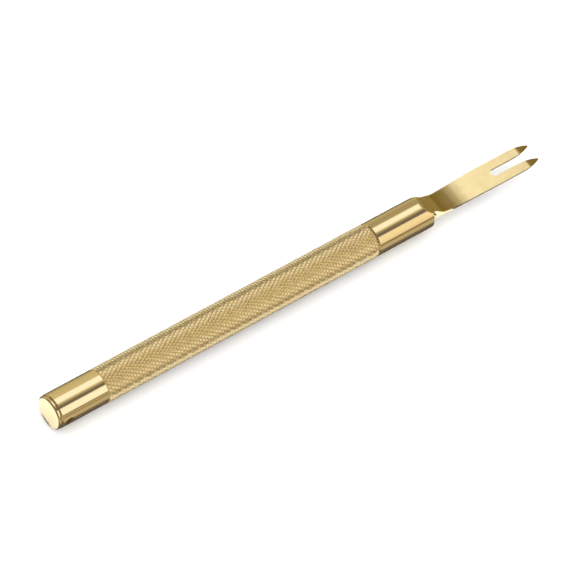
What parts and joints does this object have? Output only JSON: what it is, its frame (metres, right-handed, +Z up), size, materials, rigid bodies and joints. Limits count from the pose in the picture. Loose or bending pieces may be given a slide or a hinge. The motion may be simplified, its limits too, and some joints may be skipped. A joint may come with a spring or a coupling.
{
  "type": "spring bar tool",
  "caption": "Slim knurled brass hand tool with a screw-in forked blade at one end and a steel push pin under a pull-off cap at the other.",
  "frame": {"origin": "below the middle of the tool's length, on the surface that the grip rests on", "axes": "+X along the tool towards the fork, +Y across the blade's width, +Z up, square to the blade's flat faces"},
  "size_m": [0.1322, 0.008, 0.008],
  "materials": {
    "knurled_brass": "bright knurled",
    "polished_brass": "polished",
    "threaded_brass": "machined",
    "pin_steel": "ground"
  },
  "bodies": {
    "handle": {"grip": "knurled_brass", "pin_holder": "threaded_brass", "push_pin": "pin_steel"},
    "cap": {"rear_cap": "polished_brass", "end_plug": "polished_brass"},
    "stud": {"fork_stud": "threaded_brass"},
    "fork": {"fork_head": "polished_brass"}
  },
  "joints": [
    {"name": "cap_pull", "type": "slide", "parent": "handle", "child": "cap", "axis": [-1, 0, 0], "range_m": [0, 0.01]},
    {"name": "fork_travel", "type": "slide", "parent": "handle", "child": "stud", "axis": [1, 0, 0], "range_m": [0, 0.0065]},
    {"name": "fork_turn", "type": "hinge", "parent": "stud", "child": "fork", "pos_m": [0.0425, 0, 0.004], "axis": [1, 0, 0], "range_deg": [0, 3343]}
  ],
  "couplings": [
    {"joint": "fork_turn", "follows": "fork_travel", "rad_per_m": 8976}
  ]
}
